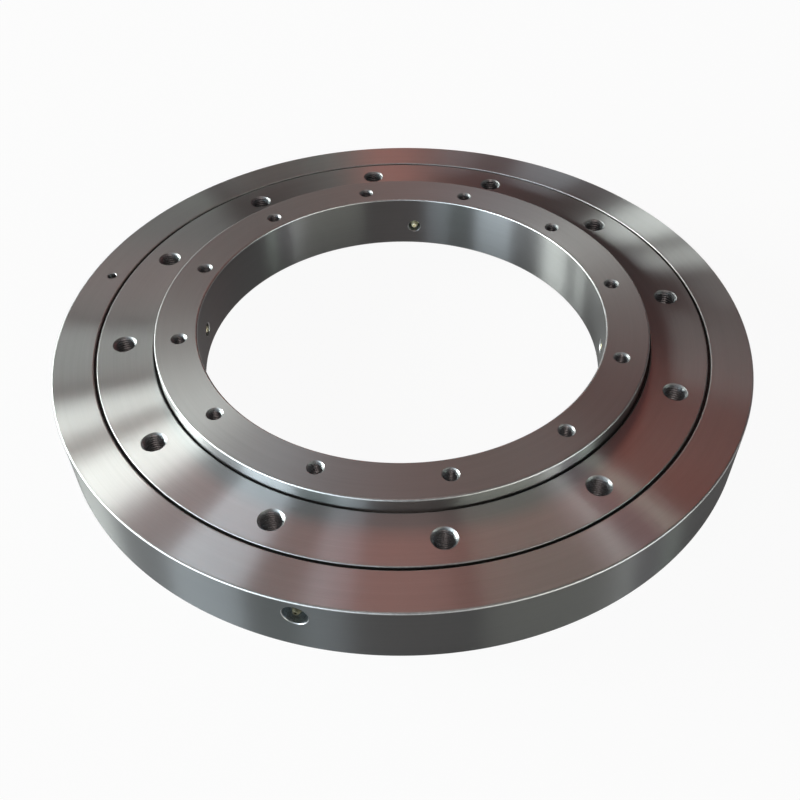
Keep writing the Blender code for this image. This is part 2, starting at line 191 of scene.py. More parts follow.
def radial(radius, azimuth, height, inwards=False):
    """Place on a wall, Z out of the wall."""
    lean = Matrix.Rotation(math.radians(-90.0 if inwards else 90.0), 4, "Y")
    return turn(azimuth) @ Matrix.Translation((radius, 0.0, height)) @ lean


# Outlines: corners are (radius, height, ease, finish), the finish being that of the face that follows

def eased(corners, edge_finish):
    """Points (radius, height, finish) of an outline whose corners are rounded by their ease."""
    points = []
    count = len(corners)
    for index, (radius, height, ease, finish) in enumerate(corners):
        here = np.array((radius, height))
        if not ease:
            points.append((radius, height, finish))
            continue
        before = np.array(corners[index - 1][:2]) - here
        after = np.array(corners[(index + 1) % count][:2]) - here
        before /= np.linalg.norm(before)
        after /= np.linalg.norm(after)
        start, end = here + ease * before, here + ease * after
        support = here + (ease + SUPPORT) * before
        points.append((*support, corners[index - 1][3]))
        for step in range(EASE_STEPS + 1):
            share = step / EASE_STEPS
            spot = start * (1 - share) + end * share
            spot = spot + (here - spot) * EASE_BULGE * share * (1 - share)
            points.append((*spot, edge_finish if step < EASE_STEPS else finish))
        points.append((*(here + (ease + SUPPORT) * after), finish))
    return points


def lathe(name, outline, finishes, segments=RING_SEGMENTS):
    """A closed mesh turned about Z from a closed outline of (radius, height, finish)."""
    angles = np.arange(segments) * math.tau / segments
    shape = np.array([point[:2] for point in outline])
    rows = len(shape)
    verts = np.empty((segments, rows, 3))
    verts[:, :, 0] = np.cos(angles)[:, None] * shape[None, :, 0]
    verts[:, :, 1] = np.sin(angles)[:, None] * shape[None, :, 0]
    verts[:, :, 2] = shape[None, :, 1]
    faces = []
    for column in range(segments):
        this, following = column * rows, (column + 1) % segments * rows
        for row in range(rows):
            above = (row + 1) % rows
            faces.append((this + row, following + row, following + above, this + above))
    mesh = bpy.data.meshes.new(name)
    mesh.from_pydata(verts.reshape(-1, 3).tolist(), [], faces)
    for finish in finishes:
        mesh.materials.append(finish)
    slots = [point[2] for point in outline] * segments
    mesh.polygons.foreach_set("material_index", slots)
    return outward(mesh)


def outward(mesh):
    bm = bmesh.new()
    bm.from_mesh(mesh)
    bmesh.ops.recalc_face_normals(bm, faces=bm.faces[:])
    bm.to_mesh(mesh)
    bm.free()
    return mesh


def spindle(name, points, segments, edge_row=None):
    """A closed mesh turned about Z from an open outline that starts and ends on the axis.

    The faces of the edge row take slot 1.
    """
    verts = [(0.0, 0.0, points[0][1]), (0.0, 0.0, points[-1][1])]
    rows = points[1:-1]
    for index in range(segments):
        angle = index * math.tau / segments
        verts += [(radius * math.cos(angle), radius * math.sin(angle), height) for radius, height in rows]
    faces = []
    slots = []
    for index in range(segments):
        this = 2 + index * len(rows)
        following = 2 + (index + 1) % segments * len(rows)
        faces.append((0, this, following))
        faces.append((1, following + len(rows) - 1, this + len(rows) - 1))
        slots += [0, 0]
        for row in range(len(rows) - 1):
            faces.append((this + row, this + row + 1, following + row + 1, following + row))
            slots.append(1 if row == edge_row else 0)
    mesh = bpy.data.meshes.new(name)
    mesh.from_pydata(verts, [], faces)
    mesh.polygons.foreach_set("material_index", slots)
    return outward(mesh)


def gathered(name, parts, finishes=()):
    """One mesh of (mesh, place, slot) parts, the slot being added to the part's own."""
    bm = bmesh.new()
    for part, place, slot in parts:
        verts, faces = len(bm.verts), len(bm.faces)
        bm.from_mesh(part)
        bm.verts.ensure_lookup_table()
        bm.faces.ensure_lookup_table()
        bmesh.ops.transform(bm, matrix=place, verts=bm.verts[verts:])
        for face in bm.faces[faces:]:
            face.material_index += slot
    mesh = bpy.data.meshes.new(name)
    bm.to_mesh(mesh)
    bm.free()
    for finish in finishes:
        mesh.materials.append(finish)
    return mesh


def cutter(name, shape, places, finishes):
    """A hidden shape whose faces give the cut their finish: bored, or that of an edge."""
    mesh = gathered(name, [(shape, place, 0) for place in places], [finishes["bored"], finishes["edge"]])
    return linked(bpy.data.objects.new(name, mesh))


def carve(mesh, *cutters, keep_inside=False):
    """The mesh with the cutters' shapes taken out one after another, or with only their inside kept."""
    body = linked(bpy.data.objects.new("body_to_carve", mesh))
    for tool in cutters:
        modifier = body.modifiers.new("cut", "BOOLEAN")
        modifier.operation = "INTERSECT" if keep_inside else "DIFFERENCE"
        modifier.solver = "EXACT"
        modifier.material_mode = "TRANSFER"
        modifier.object = tool
    graph = bpy.context.evaluated_depsgraph_get()
    carved = bpy.data.meshes.new_from_object(body.evaluated_get(graph), depsgraph=graph)
    for obj in [body, *cutters]:
        bpy.data.objects.remove(obj, do_unlink=True)
    return carved


def finish_mesh(mesh, angle=32.0):
    mesh.shade_smooth()
    mesh.set_sharp_from_angle(angle=math.radians(angle))
    return mesh


def piece(name, mesh, node, body):
    made = linked(bpy.data.objects.new(name, mesh))
    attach(made, body)
    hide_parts(node)


# Holes

def threaded_rod(hole):
    """A screw-threaded rod, point down, that cuts a tapped hole whose mouth is at height 0."""
    core, major, pitch = hole["core"], hole["major"], hole["pitch"]
    profile = list(zip(THREAD_SHARES, (core, core, major, major)))
    rows = len(profile)
    turns = int((hole["depth"] + OVERRUN) / pitch) + 1
    levels = turns * rows
    verts = []
    for column in range(THREAD_SEGMENTS):
        angle = column * math.tau / THREAD_SEGMENTS
        for level in range(levels):
            share, radius = profile[level % rows]
            height = -hole["depth"] + pitch * (level // rows + share + column / THREAD_SEGMENTS)
            verts.append((radius * math.cos(angle), radius * math.sin(angle), height))
    faces = []
    for column in range(THREAD_SEGMENTS):
        shift = rows if column == THREAD_SEGMENTS - 1 else 0
        this, following = column * levels, (column + 1) % THREAD_SEGMENTS * levels + shift
        for level in range(levels - 1 - shift):
            faces.append((this + level, following + level, following + level + 1, this + level + 1))
    last = (THREAD_SEGMENTS - 1) * levels + levels - 1
    low = [column * levels for column in range(THREAD_SEGMENTS)] + list(range(rows, 0, -1))
    high = [column * levels + levels - 1 for column in range(THREAD_SEGMENTS)]
    high += [last - step for step in range(1, rows + 1)]
    point, cap = len(verts), len(verts) + 1
    verts.append((0.0, 0.0, -hole["depth"] - core * DRILL_POINT))
    verts.append((0.0, 0.0, -hole["depth"] + pitch * (turns + 1)))
    faces += [(point, here, there) for here, there in zip(low, low[1:] + low[:1])]
    faces += [(cap, here, there) for here, there in zip(high, high[1:] + high[:1])]
    mesh = bpy.data.meshes.new("threaded_rod")
    mesh.from_pydata(verts, [], faces)
    return outward(mesh)


def plain_rod(radius, depth, point=0.0, taper=0.0):
    """A rod from above the surface down to a depth, that may end in a drill's point or narrow downwards."""
    top, low = radius + taper / 2 * OVERRUN, radius - taper / 2 * depth
    points = [(0.0, OVERRUN), (top, OVERRUN), (low, -depth), (0.0, -depth - point)]
    return spindle("rod", points, HOLE_SEGMENTS)


def chamfered_rod(radius, chamfer, rest):
    """A rod whose mouth is chamfered. The rest are the points below the chamfer."""
    points = [(0.0, OVERRUN), (radius + chamfer + OVERRUN, OVERRUN), (radius, -chamfer), *rest]
    return spindle("chamfered_rod", points, HOLE_SEGMENTS, edge_row=0)


def tapped(hole, finishes):
    """Cutters of a circle of tapped holes: the thread, and its run-in with the bright chamfer on top."""
    places = [
        upright(hole["circle"], hole["azimuth"] + 360.0 * index / HOLES, hole["face"], hole["down"])
        for index in range(HOLES)
    ]
    core, mouth = hole["core"], hole["mouth"]
    rod = threaded_rod(hole)
    run_in_end = core - mouth
    run_in = chamfered_rod(mouth - HOLE_CHAMFER, HOLE_CHAMFER, [(core, run_in_end), (0.0, run_in_end)])
    return [cutter("threads", rod, places, finishes), cutter("run_ins", run_in, places, finishes)]


def nipple_seats(places, recess, depth, race_distance, finishes):
    shank = SHANK_RADIUS + SEAT_CLEARANCE
    shank_end = -depth - SHANK_LENGTH - SEAT_CLEARANCE
    passage = -race_distance + BALL_RADIUS / 2
    seat = chamfered_rod(recess, RECESS_CHAMFER, [
        (recess, -depth),
        (shank, -depth),
        (shank, shank_end),
        (GREASE_PASSAGE_RADIUS, shank_end),
        (GREASE_PASSAGE_RADIUS, passage),
        (0.0, passage),
    ])
    return [cutter("seats", seat, places, finishes)]


# Rings

def seal_groove(bore, low, finish):
    high = low + SEAL_HEIGHT
    back = bore + SEAL_DEPTH
    return [(bore, high, 0, finish), (back, high, 0, finish), (back, low, 0, finish), (bore, low, 0, finish)]


def race_arc(side, radius, height, finish):
    """Corners of one ring's half of a race, from top to bottom. Side is 1 in the race's outer ring."""
    reach = BALL_RADIUS + RACE_CLEARANCE
    entry = math.acos(RACE_GAP / 2 / reach)
    angles = [entry * (1 - 2 * step / RACE_ARC_STEPS) for step in range(RACE_ARC_STEPS + 1)]
    return [(radius + side * reach * math.cos(a), height + reach * math.sin(a), 0, finish) for a in angles]


FACE, WALL, EDGE, RACE = range(4)


def outer_ring_outline():
    return eased([
        (OUTER_RADIUS, 0.0, RIM_EASE, WALL),
        (OUTER_RADIUS, FACE_Z, RIM_EASE, FACE),
        (OUTER_BORE, FACE_Z, GAP_EASE, RACE),
        *seal_groove(OUTER_BORE, UPPER_SEAL_Z, RACE),
        *race_arc(1, OUTER_RACE_RADIUS, OUTER_RACE_Z, RACE),
        *seal_groove(OUTER_BORE, OUTER_LOWER_SEAL_Z, RACE),
        (OUTER_BORE, 0.0, GAP_EASE, FACE),
    ], EDGE)


def middle_ring_outline():
    return eased([
        (MIDDLE_RADIUS, FACE_Z, GAP_EASE, FACE),
        (MIDDLE_BORE, FACE_Z, GAP_EASE, RACE),
        *seal_groove(MIDDLE_BORE, UPPER_SEAL_Z, RACE),
        *race_arc(1, INNER_RACE_RADIUS, INNER_RACE_Z, RACE),
        *seal_groove(MIDDLE_BORE, INNER_LOWER_SEAL_Z, RACE),
        (MIDDLE_BORE, MIDDLE_BOTTOM_Z, GAP_EASE, FACE),
        (MIDDLE_RADIUS, MIDDLE_BOTTOM_Z, GAP_EASE, RACE),
        *reversed(race_arc(-1, OUTER_RACE_RADIUS, OUTER_RACE_Z, RACE)),
    ], EDGE)


def inner_ring_outline():
    return eased([
        (INNER_RADIUS, INNER_TOP_Z, RIM_EASE, FACE),
        (BORE_RADIUS, INNER_TOP_Z, RIM_EASE, WALL),
        (BORE_RADIUS, INNER_BOTTOM_Z, RIM_EASE, FACE),
        (INNER_RADIUS, INNER_BOTTOM_Z, RIM_EASE, RACE),
        *reversed(race_arc(-1, INNER_RACE_RADIUS, INNER_RACE_Z, RACE)),
    ], EDGE)


def add_filling_plug(race, uncut, place, length, pin_place, pin_depth, body, finishes):
    """The plug and pin of a race, and the cutters of their holes in the ring."""
    pin_end = pin_depth + PLUG_RADIUS + PIN_PAST_PLUG
    bore_radius, bore_end = PIN_RADIUS + SEAT_CLEARANCE, pin_end + SEAT_CLEARANCE
    bore_floor = bore_radius - PIN_TAPER / 2 * bore_end
    pin_bore = chamfered_rod(bore_radius, PIN_CHAMFER, [(bore_floor, -bore_end), (0.0, -bore_end)])
    plug = gathered("plug", [(plain_rod(PLUG_RADIUS, length), place, 0)], [finishes["plug"]])
    kept = linked(bpy.data.objects.new("uncut_ring", uncut))
    plug = carve(plug, kept, keep_inside=True)
    plug = carve(plug, cutter("plug_pin_hole", pin_bore, [pin_place], finishes))
    piece(race + "_filling_plug_ground", finish_mesh(plug), race + "_filling_plug", body)

    high, low = PIN_RADIUS - PIN_TAPER / 2 * PIN_RECESS, PIN_RADIUS - PIN_TAPER / 2 * pin_end
    pin = spindle("pin", [
        (0.0, -PIN_RECESS),
        (high - PIN_EASE, -PIN_RECESS),
        (high, -PIN_RECESS - PIN_EASE),
        (low, -pin_end + PIN_EASE),
        (low - PIN_EASE, -pin_end),
        (0.0, -pin_end),
    ], HOLE_SEGMENTS)
    pin = finish_mesh(gathered("pin", [(pin, pin_place, 0)], [finishes["plug"]]))
    piece(race + "_plug_pin_ground", pin, race + "_plug_pin", body)
    return [
        cutter("plug_hole", plain_rod(PLUG_RADIUS + SEAT_CLEARANCE, length), [place], finishes),
        cutter("pin_hole", pin_bore, [pin_place], finishes),
    ]


def add_outer_ring(finishes):
    surfaces = [finishes["face"], finishes["outer_wall"], finishes["edge"], finishes["race"]]
    ring = lathe("outer_ring_shape", outer_ring_outline(), surfaces)
    to_race = OUTER_RADIUS - OUTER_RACE_RADIUS
    nipples = [radial(OUTER_RADIUS, azimuth, OUTER_RACE_Z) for azimuth in OUTER_NIPPLES]
    plug_cutters = add_filling_plug(
        "outer_race",
        lathe("uncut_outer_ring", outer_ring_outline(), surfaces),
        radial(OUTER_RADIUS, OUTER_PLUG_AZIMUTH, OUTER_RACE_Z),
        to_race,
        upright(OUTER_PIN_CIRCLE, OUTER_PLUG_AZIMUTH, FACE_Z),
        FACE_Z - OUTER_RACE_Z,
        "outer_ring",
        finishes,
    )
    seats = nipple_seats(nipples, OUTER_RECESS_RADIUS, OUTER_RECESS_DEPTH, to_race, finishes)
    ring = carve(ring, *tapped(OUTER_HOLES, finishes), *plug_cutters, *seats)
    piece("outer_ring_ground", finish_mesh(ring), "outer_ring", "outer_ring")
    # The outer nipples take brass darkened as painted shade for their recesses.
    add_nipples("outer_grease_nipple", nipples, OUTER_RECESS_DEPTH, "outer_ring", finishes["brass_with_painted_shade"])


def add_middle_ring(finishes):
    surfaces = [finishes["face"], finishes["step_wall"], finishes["edge"], finishes["race"]]
    ring = lathe("middle_ring_shape", middle_ring_outline(), surfaces)
    ring = carve(ring, *tapped(MIDDLE_HOLES, finishes))
    piece("middle_ring_ground", finish_mesh(ring), "middle_ring", "middle_ring")


def add_inner_ring(finishes):
    surfaces = [finishes["inner_face"], finishes["bore_wall"], finishes["edge"], finishes["step_wall"]]
    ring = lathe("inner_ring_shape", inner_ring_outline(), surfaces)
    to_race = INNER_RACE_RADIUS - BORE_RADIUS
    nipples = [radial(BORE_RADIUS, azimuth, INNER_RACE_Z, True) for azimuth in BORE_NIPPLES]
    plug_cutters = add_filling_plug(
        "inner_race",
        lathe("uncut_inner_ring", inner_ring_outline(), surfaces),
        radial(BORE_RADIUS, INNER_PLUG_AZIMUTH, INNER_RACE_Z, True),
        to_race,
        upright(INNER_PIN_CIRCLE, INNER_PLUG_AZIMUTH, INNER_BOTTOM_Z, True),
        INNER_RACE_Z - INNER_BOTTOM_Z,
        "inner_ring",
        finishes,
    )
    seats = nipple_seats(nipples, BORE_RECESS_RADIUS, BORE_RECESS_DEPTH, to_race, finishes)
    ring = carve(ring, *tapped(INNER_HOLES, finishes), *plug_cutters, *seats)
    piece("inner_ring_ground", finish_mesh(ring), "inner_ring", "inner_ring")
    # The bore's nipples take brass brightened as painted light.
    add_nipples("bore_grease_nipple", nipples, BORE_RECESS_DEPTH, "inner_ring", finishes["brass"])


# Small pieces

def nipple_mesh():
    """A grease nipple: shank, hexagon, neck and head with its nozzle."""
    low, high = SEAT_CLEARANCE, SEAT_CLEARANCE + HEXAGON_HEIGHT
    base = high + NECK_HEIGHT
    top = base + HEAD_HEIGHT
    bevel = 0.0004
    hexagon = spindle("hexagon", [
        (0.0, low),
        (HEXAGON_RADIUS - bevel, low),
        (HEXAGON_RADIUS, low + bevel),
        (HEXAGON_RADIUS, high - bevel),
        (HEXAGON_RADIUS - 2 * bevel, high),
        (0.0, high),
    ], 6)
    body = spindle("body", [
        (0.0, -SHANK_LENGTH),
        (SHANK_RADIUS - bevel, -SHANK_LENGTH),
        (SHANK_RADIUS, -SHANK_LENGTH + bevel),
        (SHANK_RADIUS, low + bevel),
        (NECK_RADIUS + 0.0006, high - bevel),
        (NECK_RADIUS + 0.0003, high + 0.0003),
        (NECK_RADIUS, high + 0.0007),
        (NECK_RADIUS, base),
        (HEAD_RADIUS - 0.0002, base + 0.0009),
        (HEAD_RADIUS, base + 0.0013),
        (HEAD_RADIUS - 0.0002, base + 0.0017),
        (HEAD_RADIUS - 0.0011, top - 0.0006),
        (HEAD_RADIUS - 0.0015, top - 0.0001),
        (HEAD_RADIUS - 0.0019, top),
        (NOZZLE_RADIUS, top - 0.0001),
        (NOZZLE_RADIUS, top - NOZZLE_DEPTH),
        (0.0, top - NOZZLE_DEPTH + 0.0004),
    ], 32)
    return gathered("nipple", [(hexagon, Matrix.Identity(4), 0), (body, Matrix.Identity(4), 0)])


def add_nipples(name, places, depth, body, finish):
    shape = nipple_mesh()
    for number, place in enumerate(places, 1):
        seat = place @ Matrix.Translation((0.0, 0.0, -depth)) @ turn(20.0 * number)
        mesh = finish_mesh(gathered(name, [(shape, seat, 0)], [finish]), 40.0)
        piece(f"{name}_{number}_turned", mesh, f"{name}_{number}", body)


def add_seal(name, bore, low, body, finishes):
    """A rubber strip in its groove, with a lip that reaches across the gap."""
    back = bore + SEAL_DEPTH - SEAT_CLEARANCE
    tip = bore - RACE_GAP + SEAT_CLEARANCE
    bottom, top = low + SEAT_CLEARANCE, low + SEAL_HEIGHT - SEAT_CLEARANCE
    outline = [
        (back, bottom, 0),
        (back, top, 0),
        (bore - 0.0002, top, 0),
        (bore - 0.0007, top - 0.0005, 0),
        (tip + 0.0003, top - 0.0004, 0),
        (tip, top - 0.0006, 0),
        (tip + 0.0001, bottom + 0.0005, 0),
        (bore - 0.0004, bottom, 0),
    ]
    mesh = finish_mesh(lathe(name, outline, [finishes["rubber"]]), 50.0)
    piece(name + "_moulded", mesh, name, body)


def add_ball_trains(race, race_radius, race_z, body, finishes):
    """Trains of balls with the spacers between them. No spacer is drawn from one train to the next."""
    ball = bpy.data.meshes.new("ball")
    bm = bmesh.new()
    bmesh.ops.create_uvsphere(bm, u_segments=20, v_segments=12, radius=BALL_RADIUS)
    bm.to_mesh(ball)
    bm.free()
    step = 360.0 / TRAINS / BALLS_PER_TRAIN
    half_gap = math.radians(step / 2) * race_radius - BALL_RADIUS * BALL_SHARE_CLEAR_OF_SPACER
    spacer = spindle("spacer", [
        (0.0, -half_gap),
        (SPACER_RADIUS - SPACER_EASE, -half_gap),
        (SPACER_RADIUS, -half_gap + SPACER_EASE),
        (SPACER_RADIUS, half_gap - SPACER_EASE),
        (SPACER_RADIUS - SPACER_EASE, half_gap),
        (0.0, half_gap),
    ], 20)
    along = Matrix.Rotation(math.radians(90.0), 4, "X")
    for train in range(TRAINS):
        parts = []
        for index in range(BALLS_PER_TRAIN):
            azimuth = 360.0 * train / TRAINS + step * index
            parts.append((ball, upright(race_radius, azimuth, race_z), 0))
            if index < BALLS_PER_TRAIN - 1:
                parts.append((spacer, upright(race_radius, azimuth + step / 2, race_z) @ along, 1))
        name = f"{race}_ball_train_{train + 1:02}"
        mesh = gathered(name, parts, [finishes["ball"], finishes["spacer"]])
        piece(name + "_polished", finish_mesh(mesh, 40.0), name, body)


# Materials

class Nodes:
    """A material whose nodes are added and linked by short calls."""

    def __init__(self, name, metallic):
        self.material = bpy.data.materials.new(name)
        self.material.use_nodes = True
        self.tree = self.material.node_tree
        self.shader = self.tree.nodes["Principled BSDF"]
        self.shader.inputs["Metallic"].default_value = metallic

    def add(self, kind, **settings):
        node = self.tree.nodes.new("ShaderNode" + kind)
        for name, value in settings.items():
            setattr(node, name, value)
        return node

    def link(self, output, target):
        self.tree.links.new(output, target)

    def feed(self, socket, value):
        if isinstance(value, (int, float, tuple)):
            socket.default_value = value
        else:
            self.link(value, socket)

    def math(self, operation, first, second=0.0):
        node = self.add("Math", operation=operation)
        self.feed(node.inputs[0], first)
        self.feed(node.inputs[1], second)
        return node.outputs[0]

    def vector(self, operation, first, second=None, scale=None):
        node = self.add("VectorMath", operation=operation)
        self.link(first, node.inputs[0])
        if second is not None:
            self.link(second, node.inputs[1])
        if scale is not None:
            self.feed(node.inputs["Scale"], scale)
        return node.outputs[0]

    def combine(self, x, y, z):
        node = self.add("CombineXYZ")
        for socket, value in zip(node.inputs, (x, y, z)):
            self.feed(socket, value)
        return node.outputs[0]

    def noise(self, vector, scale, detail=2.0, roughness=0.5):
        node = self.add("TexNoise", noise_dimensions="3D")
        node.inputs["Scale"].default_value = scale
        node.inputs["Detail"].default_value = detail
        node.inputs["Roughness"].default_value = roughness
        self.link(vector, node.inputs["Vector"])
        return node.outputs["Fac"]

    def span(self, value, low, high):
        """Maps 0..1 to low..high."""
        node = self.add("MapRange")
        self.link(value, node.inputs["Value"])
        node.inputs["To Min"].default_value = low
        node.inputs["To Max"].default_value = high
        return node.outputs["Result"]

    def ramp(self, value, *stops):
        node = self.add("ValToRGB")
        ramp = node.color_ramp
        while len(ramp.elements) < len(stops):
            ramp.elements.new(0.5)
        for element, (place, colour) in zip(ramp.elements, stops):
            element.position = place
            element.color = (*colour, 1.0)
        self.link(value, node.inputs["Fac"])
        return node.outputs["Color"]

    def set(self, **values):
        for name, value in values.items():
            self.feed(self.shader.inputs[name.replace("_", " ")], value)


def shade(colour, factor):
    return tuple(min(1.0, factor * part) for part in colour)


def turning_marks(nodes, across, along):
    """A coordinate that changes fast across the tool marks and slowly along them.

    The marks run round the rings' axis, so radius and height are the fast directions.
    """
    position = nodes.add("TexCoord").outputs["Object"]
    parts = nodes.add("SeparateXYZ")
    nodes.link(position, parts.inputs[0])
    x, y, z = parts.outputs
    radius = nodes.math("SQRT", nodes.math("ADD", nodes.math("MULTIPLY", x, x), nodes.math("MULTIPLY", y, y)))
    height = nodes.math("MULTIPLY", z, HEIGHT_AS_RADIUS)
    fast = nodes.math("MULTIPLY", nodes.math("ADD", radius, height), across)
    slow_x = nodes.math("MULTIPLY", nodes.math("DIVIDE", x, radius), along)
    slow_y = nodes.math("MULTIPLY", nodes.math("DIVIDE", y, radius), along)
    return nodes.combine(fast, slow_x, slow_y)


def turned_steel(name, colour, roughness, anisotropy, leans, haze=0.0, contrast=0.06):
    """Steel with fine grooves of turning or grinding round the axis.

    Each lean is the angle of some grooves' sides with their share of the surface. They spread a
    highlight across the grooves and keep it sharp along them. Haze is the share without grooves.
    """
    nodes = Nodes(name, 1.0)
    fine = nodes.noise(turning_marks(nodes, *FINE_MARKS), 1.0, 3.0, 0.6)
    broad = nodes.noise(turning_marks(nodes, *BROAD_MARKS), 1.0, 2.0, 0.5)
    blend = nodes.math(
        "ADD", nodes.math("MULTIPLY", fine, FINE_SHARE), nodes.math("MULTIPLY", broad, BROAD_SHARE)
    )
    tint = nodes.ramp(blend, (0.3, shade(colour, 1 - contrast)), (0.7, shade(colour, 1 + contrast)))
    bump = nodes.add("Bump")
    bump.inputs["Strength"].default_value = MARK_BUMP
    bump.inputs["Distance"].default_value = MARK_DEPTH
    nodes.link(fine, bump.inputs["Height"])
    out = bump.outputs["Normal"]
    along = nodes.add("Tangent", direction_type="RADIAL", axis="Z").outputs[0]
    across = nodes.vector("CROSS_PRODUCT", along, out)

    looks = [(lean, share, roughness, anisotropy) for lean, share in leans]
    if haze:
        looks.append((0.0, haze, HAZE_ROUGHNESS, HAZE_ANISOTROPY))
    total, surface = 0.0, None
    for lean, share, rough, stretch in looks:
        shader = nodes.shader if surface is None else nodes.add("BsdfPrincipled")
        slope = math.tan(math.radians(lean))
        leaning = nodes.vector("ADD", out, nodes.vector("SCALE", across, scale=slope))
        nodes.feed(shader.inputs["Metallic"], 1.0)
        nodes.feed(shader.inputs["Base Color"], tint)
        uneven = nodes.span(blend, rough - ROUGHNESS_SPREAD, rough + ROUGHNESS_SPREAD)
        nodes.feed(shader.inputs["Roughness"], uneven)
        nodes.feed(shader.inputs["Anisotropic"], stretch)
        nodes.feed(shader.inputs["Anisotropic Rotation"], 0.25)
        nodes.feed(shader.inputs["Normal"], nodes.vector("NORMALIZE", leaning))
        nodes.feed(shader.inputs["Tangent"], along)
        total += share
        if surface is None:
            surface = shader.outputs[0]
            continue
        mix = nodes.add("MixShader")
        nodes.feed(mix.inputs[0], share / total)
        nodes.link(surface, mix.inputs[1])
        nodes.link(shader.outputs[0], mix.inputs[2])
        surface = mix.outputs[0]
    nodes.link(surface, nodes.tree.nodes["Material Output"].inputs["Surface"])
    return nodes.material


def plain_steel(name, colour, roughness, grain_scale=900.0, contrast=0.3):
    """Steel without a direction, such as drilled, chamfered or oily surfaces."""
    nodes = Nodes(name, 1.0)
    grain = nodes.noise(nodes.add("TexCoord").outputs["Object"], grain_scale, 3.0, 0.6)
    nodes.set(Base_Color=nodes.ramp(grain, (0.35, shade(colour, 1 - contrast)), (0.65, colour)))
    nodes.set(Roughness=nodes.span(grain, roughness - 0.05, roughness + 0.08))
    return nodes.material


def seal_rubber():
    nodes = Nodes("seal_rubber", 0.0)
    dust = nodes.noise(nodes.add("TexCoord").outputs["Object"], 420.0, 4.0, 0.7)
    black, worn, dusty = (0.01, 0.01, 0.01), (0.04, 0.04, 0.038), (0.3, 0.3, 0.28)
    colours = nodes.ramp(dust, (0.45, black), (0.68, worn), (0.8, dusty))
    nodes.set(Base_Color=colours, Roughness=0.55)
    return nodes.material


def nipple_brass(name, dull, bright, roughness):
    nodes = Nodes(name, 1.0)
    tarnish = nodes.noise(nodes.add("TexCoord").outputs["Object"], 500.0, 3.0, 0.6)
    nodes.set(Base_Color=nodes.ramp(tarnish, (0.3, dull), (0.65, bright)))
    nodes.set(Roughness=nodes.span(tarnish, roughness, roughness + 0.16))
    return nodes.material


def spacer_nylon():
    nodes = Nodes("spacer_nylon", 0.0)
    grain = nodes.noise(nodes.add("TexCoord").outputs["Object"], 600.0)
    colours = nodes.ramp(grain, (0.3, (0.50, 0.48, 0.42)), (0.7, (0.60, 0.58, 0.52)))
    nodes.set(Base_Color=colours, Roughness=0.5)
    return nodes.material


def grey(value):
    return value, value, value


# The rings' greys, and in part their roughness, come from the same fit as the lamps. So the walls are darker
# than steel is: their lower greys are painted shade. The other finishes were chosen one by one.

def add_finishes():
    return {
        "face": turned_steel("ground_face", grey(0.456), 0.347, 1.0, GROUND, 0.12),
        "inner_face": turned_steel("turned_face", grey(0.430), 0.54, 0.72, TURNED),
        # Painted shade: these three walls have the faces' finish, but their greys are lowered so that they
        # look as dark as the dim surroundings they mirror.
        "outer_wall": turned_steel("outer_wall_painted_shade", grey(0.136), 0.347, 1.0, GROUND, 0.05),
        "step_wall": turned_steel("step_wall_painted_shade", grey(0.336), 0.347, 1.0, GROUND, 0.05),
        "bore_wall": turned_steel("bore_wall_painted_shade", grey(0.200), 0.347, 1.0, GROUND, 0.05),
        "race": turned_steel("race_steel", (0.34, 0.34, 0.33), 0.40, 0.6, [(0.0, 1.0)]),
        "edge": plain_steel("edge_steel", grey(0.55), 0.38, 400.0, 0.15),
        "bored": plain_steel("bored_steel", (0.56, 0.59, 0.61), 0.34, 900.0, 0.45),
        "plug": plain_steel("plug_steel", (0.40, 0.40, 0.39), 0.38),
        "ball": plain_steel("ball_steel", grey(0.62), 0.15, 200.0, 0.05),
        "rubber": seal_rubber(),
        # Brass, with its colour raised as painted light so that the heads deep in the bore's recesses look
        # lit.
        "brass": nipple_brass("nipple_brass", (0.80, 0.74, 0.50), (0.95, 0.91, 0.70), 0.40),
        # Painted shade: brass darkened to near black for the nipples that sit in the outer wall's recesses.
        "brass_with_painted_shade": nipple_brass("brass_with_painted_shade", (0.05, 0.045, 0.03), (0.16, 0.15, 0.10), 0.45),
        "spacer": spacer_nylon(),
    }


# Camera, floor and light

def add_camera():
    data = bpy.data.cameras.new("camera")
    data.lens = CAMERA_LENS
    data.sensor_width = SENSOR
    data.clip_start = 0.01
    camera = linked(bpy.data.objects.new("camera", data))
    ahead = (CAMERA_AIM - CAMERA_PLACE).normalized()
    right = ahead.cross(Vector((0.0, 0.0, 1.0))).normalized()
    up = right.cross(ahead)
    roll = math.radians(CAMERA_ROLL)
    rolled_right = right * math.cos(roll) + up * math.sin(roll)
    rolled_up = up * math.cos(roll) - right * math.sin(roll)
    axes = Matrix((rolled_right, rolled_up, -ahead)).transposed().to_4x4()
    camera.matrix_world = Matrix.Translation(CAMERA_PLACE) @ axes
    bpy.context.scene.camera = camera


